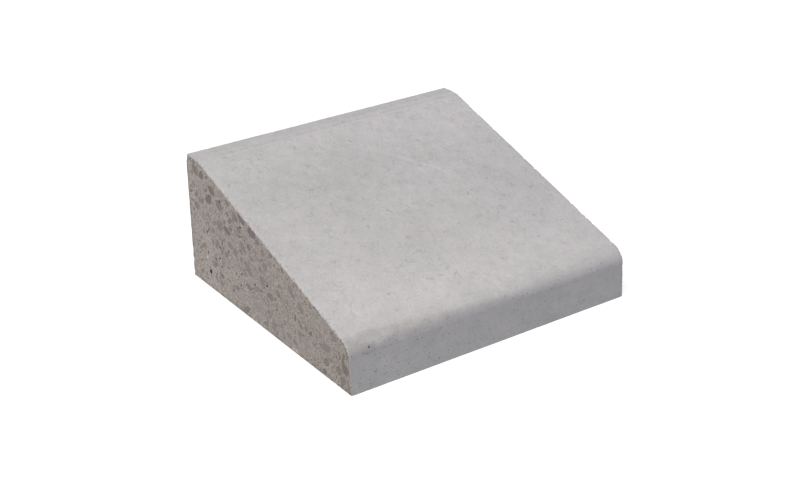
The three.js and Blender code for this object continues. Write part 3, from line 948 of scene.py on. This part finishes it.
# %% Sawn end: the larger stones of the left end
LARGER_STONES = {  # tone: y and z of the middle, half length and half width in mm, turn in degrees
    "#887e7a": (
        (98.9, 115.0, 7.0, 4.8, 25), (106.1, 103.5, 7.2, 5.2, -40), (20.9, 98.1, 7.8, 5.3, 10),
        (40.3, 104.9, 8.2, 3.2, 26), (-140.0, 23.5, 6.6, 4.4, 40), (70.4, 81.6, 7.4, 4.2, 20),
        (119.6, 125.2, 5.6, 3.8, -50), (110.8, 111.8, 3.2, 2.2, -40), (-55.9, 38.8, 4.8, 2.4, -70),
        (109.0, 126.5, 3.8, 1.3, -8), (84.8, 87.0, 4.5, 0.9, -25), (125.9, 133.4, 2.4, 1.2, 20),
        (68.8, 100.6, 3.2, 2.4, 30), (63.4, 86.6, 4.2, 1.8, 25), (-20.5, 80.2, 3.0, 1.6, -35),
        (-35.8, 79.4, 4.2, 1.8, 25), (-28.7, 78.7, 2.4, 1.4, 0), (132.7, 32.9, 3.2, 1.0, -40),
        (147.5, 76.0, 5.0, 1.2, 85), (-54.8, 23.5, 2.2, 1.6, 60), (-138.3, 35.8, 3.8, 2.0, 70),
        (-147.5, 2.5, 2.2, 1.6, 0),
    ),
    "#918883": (
        (132.6, 127.0, 7.2, 4.8, 35), (31.0, 34.7, 5.2, 3.6, 0), (27.4, 79.4, 4.6, 3.4, 55),
        (10.2, 92.2, 4.8, 2.9, -25), (-131.3, 33.6, 4.0, 2.2, 75), (37.5, 6.5, 7.6, 3.2, -30),
        (-65.2, 35.3, 5.0, 2.3, 45), (132.4, 100.6, 5.2, 2.4, -65), (66.6, 113.2, 5.0, 2.8, 15),
        (63.4, 94.8, 5.4, 2.6, -40), (46.4, 91.6, 4.2, 2.6, 35), (43.6, 68.6, 3.6, 2.4, 35),
        (86.3, 67.5, 3.0, 2.2, 70), (4.3, 75.0, 5.8, 1.1, -42), (-13.5, 87.0, 4.8, 2.0, -8),
        (-22.4, 38.1, 2.6, 2.2, 0), (-20.9, 32.1, 5.0, 1.2, -22), (-75.3, 35.4, 3.8, 2.2, 80),
        (-126.7, 30.2, 3.8, 1.8, 60), (-55.9, 71.2, 4.2, 1.2, 50), (-90.2, 24.3, 5.0, 1.2, 28),
        (110.0, 68.6, 6.2, 1.5, -52), (-83.5, 63.0, 2.8, 1.8, 60), (-6.5, 23.2, 2.6, 2.2, 0),
        (120.5, 13.1, 2.6, 2.2, 50),
    ),
    "#918a87": (
        (132.8, 86.8, 5.6, 3.9, 25), (52.6, 102.8, 6.4, 3.4, 33), (-109.0, 16.0, 5.2, 4.8, -50),
        (-129.7, 16.9, 5.4, 3.9, 0), (-136.4, 9.0, 6.2, 4.0, -60), (84.8, 104.6, 6.6, 5.2, 30),
        (135.2, 134.8, 5.6, 1.7, -8), (-10.7, 41.9, 5.8, 4.2, 0), (137.0, 110.3, 3.6, 2.4, 80),
    ),
    "#9c9592": (
        (0.7, 84.4, 4.9, 3.8, 20), (88.8, 14.9, 5.2, 3.6, 80), (123.0, 95.6, 6.8, 3.2, 0),
        (82.7, 54.5, 7.6, 3.0, -60), (50.4, 86.2, 6.6, 2.6, 25), (98.2, 16.7, 4.8, 3.4, 50),
        (62.6, 19.6, 5.6, 2.8, -55), (102.8, 57.0, 4.6, 2.6, 70), (14.4, 39.8, 5.2, 2.8, -8),
        (-34.3, 25.8, 2.8, 1.4, -40), (107.9, 85.1, 3.9, 2.8, 60), (-42.1, 49.2, 3.0, 2.6, 0),
        (129.1, 51.6, 3.2, 2.4, 0),
    ),
    "#9b918d": (
        (85.2, 81.5, 7.2, 5.8, -45), (30.2, 55.2, 9.0, 4.8, 42), (39.2, 74.7, 7.8, 4.2, 38),
        (126.2, 43.2, 9.6, 2.2, -36), (-50.6, 63.8, 7.8, 4.4, 52), (3.7, 52.4, 5.8, 4.6, 80),
        (-2.2, 71.1, 5.7, 4.5, -30), (99.6, 32.2, 6.8, 3.6, -35), (-109.6, 31.3, 7.0, 5.1, 0),
        (93.5, 58.4, 7.0, 3.6, -60), (-65.5, 53.5, 6.3, 4.6, 40), (74.0, 53.6, 6.4, 3.2, -38),
        (55.2, 63.0, 5.2, 4.4, -30), (-121.5, 48.6, 6.8, 3.7, 28), (-16.9, 14.3, 7.0, 3.1, -20),
        (139.2, 122.2, 3.4, 2.6, 70), (96.4, 80.1, 3.8, 2.6, -50), (100.7, 69.6, 3.8, 2.8, 80),
        (121.2, 61.7, 4.0, 2.8, 80), (79.1, 67.8, 3.2, 2.4, -30), (64.8, 67.1, 6.3, 3.0, 10),
        (43.9, 60.3, 3.8, 3.0, -15), (38.2, 48.4, 7.6, 1.9, 38), (23.0, 69.3, 5.2, 2.2, 15),
        (82.0, 39.4, 3.9, 2.4, 60), (-26.1, 51.5, 5.0, 3.8, 0), (-32.1, 47.4, 3.8, 1.6, 80),
        (-41.0, 41.4, 3.8, 1.4, 75), (-43.3, 13.8, 5.0, 3.4, 15), (-63.0, 25.4, 4.8, 3.0, 20),
        (129.8, 12.8, 5.4, 2.2, -35), (6.8, 63.9, 3.2, 2.8, 0), (0.0, 7.4, 5.4, 2.8, -25),
        (-42.5, 74.6, 3.4, 1.8, 15), (-68.6, 66.4, 3.8, 1.6, 50), (-20.9, 6.4, 5.5, 2.2, -45),
        (-28.7, 60.4, 5.0, 2.2, -8),
    ),
    "#a7a19e": (
        (120.5, 79.0, 6.4, 4.9, -40), (20.2, 27.9, 8.4, 2.7, -8), (81.2, 117.2, 6.5, 3.6, 15),
        (-11.5, 77.4, 5.5, 3.6, 20), (-73.5, 20.0, 6.4, 4.2, 50), (139.2, 73.6, 4.6, 2.8, -70),
        (14.4, 54.5, 5.4, 2.0, -28), (-105.1, 55.6, 5.2, 3.4, 0), (-27.6, 73.1, 3.8, 3.0, 0),
        (-88.0, 38.5, 3.4, 1.8, 0), (15.8, 20.3, 7.6, 4.6, 0),
    ),
    "#b1acaa": (
        (124.4, 114.5, 5.8, 3.6, 10), (57.6, 50.9, 6.8, 4.9, -30), (122.3, 29.0, 3.6, 2.8, 0),
        (76.6, 22.1, 3.8, 3.4, 0), (93.8, 45.2, 4.0, 3.4, 0), (36.0, 95.2, 5.8, 3.2, 20),
        (47.5, 16.7, 6.6, 4.0, 20), (4.3, 27.5, 5.8, 3.4, 50), (132.7, 67.8, 5.0, 3.0, -40),
        (-58.2, 16.1, 4.0, 3.4, 0),
    ),
    "#d3ccc7": (
        (108.8, 94.9, 3.2, 1.0, 5), (133.0, 138.0, 3.0, 0.8, 0), (117.4, 33.8, 3.6, 1.3, -45),
        (-54.0, 3.0, 5.5, 1.2, 0),
    ),
}
corner = add(tree, "TexVoronoi", {"Vector": mm, "Scale": 1 / 3.0}, out="Position")
corner = add(tree, "Mix", {0: 0.45, 4: mm, 5: corner}, out=1, data_type="VECTOR")
off_left_end = add(tree, "Math", {0: at_right, 1: NO_STONE}, operation="MULTIPLY")
for tint, stones in LARGER_STONES.items():
    nearest = NO_STONE
    for middle_y, middle_z, half_length, half_width, turn in stones:
        grown = half_width + RIM  # the oval reaches round the stone's rim of cement
        inwards = oval(tree, corner, (0, middle_y, middle_z),
                       (HUGE, half_length * grown / half_width, grown), (math.radians(turn), 0, 0))
        inwards = add(tree, "Math", {0: inwards, 1: grown, 2: -RIM}, operation="MULTIPLY_ADD")
        nearest = add(tree, "Math", {0: nearest, 1: inwards}, operation="MAXIMUM")
    depth_in = add(tree, "Math", {0: nearest, 1: off_left_end}, operation="ADD")
    colour = add(tree, "RGB")
    colour.default_value = linear(tint)
    sawn_colour, _ = lay_stones(sawn_colour, depth_in, colour)

# %% [markdown]
# ## The sawn ends: pores
# The saw opens small pores. They are painted dark, partly as dirt and partly as painted shade of
# their depth. They are more common towards the back, which filled last. The placed ones are real
# hollows in the mesh, and are also painted dark about the same middles, and every hollow in the
# mesh is darkened by its depth as well. The small ones are dots of a Voronoi pattern. The right
# end is read from another part of the pattern, so that the two ends differ.

# %% Sawn end: pores
# the pores' colour: partly dirt, partly painted shade of their depth
PORE_TONE = linear("#352b26")
PORE_CELL = 7.0  # mm from one small pore to the next
PORE_FROM, PORE_TO = 0.6, 1.0  # mm from a small pore's middle to where it starts to fade and ends
PLACED_REACH = 1.7  # a placed pore's oval, against its hollow
along_y = add(tree, "Math", {0: at_right, 1: 2 * depth, 2: y}, operation="MULTIPLY_ADD")
facing = add(tree, "CombineXYZ", {0: along_y, 1: z})
cell = add(tree, "TexVoronoi", {"Vector": facing, "Scale": 1 / PORE_CELL},
           voronoi_dimensions="2D").node.outputs
chance = add(tree, "SeparateColor", {0: cell["Color"]})
likely = add(tree, "MapRange", {0: to_front, 1: 0.8, 2: 0.2, 3: 0.12, 4: 0.25})
chosen = add(tree, "Math", {0: chance, 1: likely}, operation="LESS_THAN")
pore = add(tree, "MapRange", {0: cell["Distance"], 1: PORE_FROM / PORE_CELL, 2: PORE_TO / PORE_CELL,
                              3: 0.85, 4: 0.0})
pore = add(tree, "Math", {0: pore, 1: chosen}, operation="MULTIPLY")
for middle_y, middle_z, radius in LEFT_PORES.tolist():
    reach = PLACED_REACH * radius
    placed = oval(tree, facing, (middle_y, middle_z, 0), (reach, reach, 1.0))
    placed = add(tree, "MapRange", {0: placed, 1: 0.15, 2: 0.40, 3: 0.0, 4: 0.95})
    pore = add(tree, "Math", {0: pore, 1: placed}, operation="MAXIMUM")
# painted shade and dirt over the mesh's own hollows, by how deep they are
hollow = add(tree, "Attribute", out="Fac", attribute_name="pitted")
hollow = add(tree, "MapRange", {0: hollow, 1: 0.1, 2: 0.6, 3: 0.0, 4: 0.60})
for mask in (pore, hollow):
    sawn_colour = add(tree, "Mix", {0: mask, 6: sawn_colour, 7: PORE_TONE}, **BLEND)

# %% [markdown]
# ## The sawn ends: the arris
# The cut's rim is never clean. It is painted dark in places, partly as dirt and partly as painted
# shade in its nicks and chips. The last millimetre or two at the back is darkened all along. Along
# the rest small grains are missing, so the rim is dark in places, most of all near the thin front,
# and it is dark where the arris is chipped. Outside that the pale cast skin shows, because the
# arris is rubbed round: it wraps the rim in a wavy band, but not at the bed, at the back or where
# the arris is chipped.

# %% Sawn end: dark rim
REACH, REACH_AT_FRONT = 4.2, 2.4  # mm that missing grains reach inwards, and how much more there
# the dark rim: a darker band along the back, and dirt and painted shade in the rim's nicks and chips
dark_rim = add(tree, "MapRange", {0: y, 1: high[1] - 2.4, 2: high[1] - 1.0, 3: 0.0, 4: 0.70})
to_rim = add(tree, "Attribute", out="Fac", attribute_name="from_arris")
front_arris = add(tree, "MapRange", {0: y, 1: low[1] + 8, 2: low[1] + 25, 3: 1.0, 4: 0.0})
reach = add(tree, "Math", {0: front_arris, 1: REACH_AT_FRONT, 2: REACH}, operation="MULTIPLY_ADD")
missing = add(tree, "TexNoise", {"Vector": mm, "Scale": 1 / 3.2, "Detail": 2.0})
missing = add(tree, "MapRange", {0: missing, 1: 0.44, 2: 0.62, 3: 0.05, 4: 1.0})
missing = add(tree, "Math", {0: missing, 1: reach}, operation="MULTIPLY")
missing = add(tree, "Math", {0: missing, 1: to_rim}, operation="SUBTRACT")
missing = add(tree, "MapRange", {0: missing, 1: -0.2, 2: 0.4, 3: 0.0, 4: 0.42})
chipped = add(tree, "Attribute", out="Fac", attribute_name="broken")
chipped = add(tree, "MapRange", {0: chipped, 1: 0.15, 2: 0.45, 3: 0.0, 4: 0.5})
for mask in (missing, chipped):
    dark_rim = add(tree, "Math", {0: dark_rim, 1: mask}, operation="MAXIMUM")
sawn_colour = add(tree, "Mix", {0: dark_rim, 6: sawn_colour, 7: linear("#665b55")}, **BLEND)

# %% Sawn end: pale skin round the rim, and relief
WRAPPED, WAVY, SOFT = 1.8, 7.0, 0.5  # mm of pale skin, its waves from side to side, its soft edge
NARROWER = 0.7  # mm less at the front
wavy = add(tree, "TexNoise", {"Vector": mm, "Scale": 1 / 3.0, "Detail": 3.0})
inwards = add(tree, "Math", {0: wavy, 1: WAVY, 2: to_rim}, operation="MULTIPLY_ADD")
inwards = add(tree, "Math", {0: front_arris, 1: NARROWER, 2: inwards}, operation="MULTIPLY_ADD")
band_end = WAVY / 2 + WRAPPED
wrapped = add(tree, "MapRange", {0: inwards, 1: band_end, 2: band_end + SOFT, 3: 0.90, 4: 0.0})
off_bed = add(tree, "MapRange", {0: z, 1: 2.0, 2: 4.5})
off_back = add(tree, "MapRange", {0: y, 1: high[1] - 4.5, 2: high[1] - 2.5, 3: 1.0, 4: 0.0})
unchipped = add(tree, "Math", {0: 1.0, 1: chipped}, operation="SUBTRACT")
for part in (off_bed, off_back, unchipped):
    wrapped = add(tree, "Math", {0: wrapped, 1: part}, operation="MULTIPLY")
sawn_colour = add(tree, "Mix", {0: wrapped, 6: sawn_colour, 7: linear("#c1bebf")}, **BLEND)
tree.links.new(sawn_colour, shader.inputs["Base Color"])

relief = add(tree, "Math", {0: stone_here, 1: 0.04}, operation="MULTIPLY")  # in mm
relief = add(tree, "Math", {0: grit, 1: 0.05, 2: relief}, operation="MULTIPLY_ADD")
bump = add(tree, "Bump", {"Height": relief, "Distance": MM, "Strength": 1.0})
tree.links.new(bump, shader.inputs["Normal"])

# %% [markdown]
# ## The bed
# The bed was the open top of the mould. It was struck off level and floated, which leaves it
# flat but open and gritty, and duller than the cast skin.

# %% Floated bed
tree, shader, mm = begin("floated concrete bed", 0.9)
patches = add(tree, "TexNoise", {"Vector": mm, "Scale": 1 / 30, "Detail": 3.0})
grit = add(tree, "TexNoise", {"Vector": mm, "Scale": 1 / 2.4, "Detail": 4.0, "Roughness": 0.65})
dull = add(tree, "Math", {0: grit, 1: 1.2, 2: patches}, operation="MULTIPLY_ADD")
dull = add(tree, "Math", {0: dull, 1: 0.6}, operation="SUBTRACT", use_clamp=True)
bed_colour = add(tree, "Mix", {0: dull, 6: linear("#bdb8b2"), 7: linear("#96908a")}, **BLEND)
tree.links.new(bed_colour, shader.inputs["Base Color"])
bump = add(tree, "Bump", {"Height": grit, "Distance": 0.6 * MM, "Strength": 1.0})
tree.links.new(bump, shader.inputs["Normal"])

# %% [markdown]
# ## Joining the frame
# The stone is one body, so the piece rides on the root body and stands for the plain solid.

# %% Ride on the frame
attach(kerb, "root")
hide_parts("kerb_stone")

# %% [markdown]
# ## A plain studio
# The stone stands on a pale floor in soft light: a large lamp high at the front left, a weaker
# one low at the back right, and a dim even sky. The floor's own grey lights the stone from below
# a little. The camera, gloss and glass also see a glow in the floor and the sky, which lifts them
# to white and leaves the stone's shadow.

# %% Floor and sky
FLOOR_HALF = 30.0  # metres
FLOOR_DROP = 0.0002  # metres below the bed, so that the two faces don't flicker
FLOOR_GLOW, SKY_LIGHT = 0.75, 0.2


def seen_rays(tree):
    """1 for what the camera, gloss and glass show, and 0 for the light itself."""
    rays = add(tree, "LightPath", out="Is Camera Ray").node.outputs
    seen = add(tree, "Math", {0: rays["Is Camera Ray"], 1: rays["Is Glossy Ray"]}, operation="MAXIMUM")
    return add(tree, "Math", {0: seen, 1: rays["Is Transmission Ray"]}, operation="MAXIMUM")


pale = bpy.data.materials.new("pale studio floor")
pale.use_nodes = True
tree = pale.node_tree
shader = tree.nodes["Principled BSDF"]
shader.inputs["Base Color"].default_value = linear("#a9a9a9")
shader.inputs["Roughness"].default_value = 1.0
shader.inputs["Specular IOR Level"].default_value = 0.0
shader.inputs["Emission Color"].default_value = WHITE
glow = add(tree, "Math", {0: seen_rays(tree), 1: FLOOR_GLOW}, operation="MULTIPLY")
tree.links.new(glow, shader.inputs["Emission Strength"])

floor_mesh = bpy.data.meshes.new("studio_floor")
floor_corners = [
    (FLOOR_HALF * x, FLOOR_HALF * y, -FLOOR_DROP) for x, y in ((-1, -1), (1, -1), (1, 1), (-1, 1))
]
floor_mesh.from_pydata(floor_corners, [], [(0, 1, 2, 3)])
floor_mesh.materials.append(pale)
floor = bpy.data.objects.new("studio_floor", floor_mesh)
bpy.context.scene.collection.objects.link(floor)

sky = bpy.data.worlds.new("studio sky")
sky.use_nodes = True
bpy.context.scene.world = sky
tree = sky.node_tree
background = tree.nodes["Background"]
background.inputs["Color"].default_value = WHITE
strength = add(tree, "Math", {0: seen_rays(tree), 1: 1 - SKY_LIGHT, 2: SKY_LIGHT},
               operation="MULTIPLY_ADD")
tree.links.new(strength, background.inputs["Strength"])

# %% Lamps
AIM = Vector((0, 0, 0.07))  # the middle of the stone


def softbox(name, way, distance, size, level):
    """A square lamp aimed at the stone. A face turned straight to it gets 'level' of the light
    that would show its colour as written: power = level x pi squared x distance squared."""
    lamp = bpy.data.lights.new(name, "AREA")
    lamp.size = size
    lamp.energy = level * math.pi**2 * distance**2
    made = bpy.data.objects.new(name, lamp)
    way = Vector(way).normalized()
    turned = way.to_track_quat("Z", "Y").to_matrix().to_4x4()
    made.matrix_world = Matrix.Translation(AIM + way * distance) @ turned
    bpy.context.scene.collection.objects.link(made)
    print(f"{name}: {lamp.energy:.0f} W at {distance} m")


softbox("key softbox", (-0.45, -0.31, 0.84), 4.0, 2.2, 0.88)
softbox("back softbox", (0.55, 0.80, 0.16), 4.0, 1.2, 0.32)
bpy.context.scene.view_settings.view_transform = "Standard"
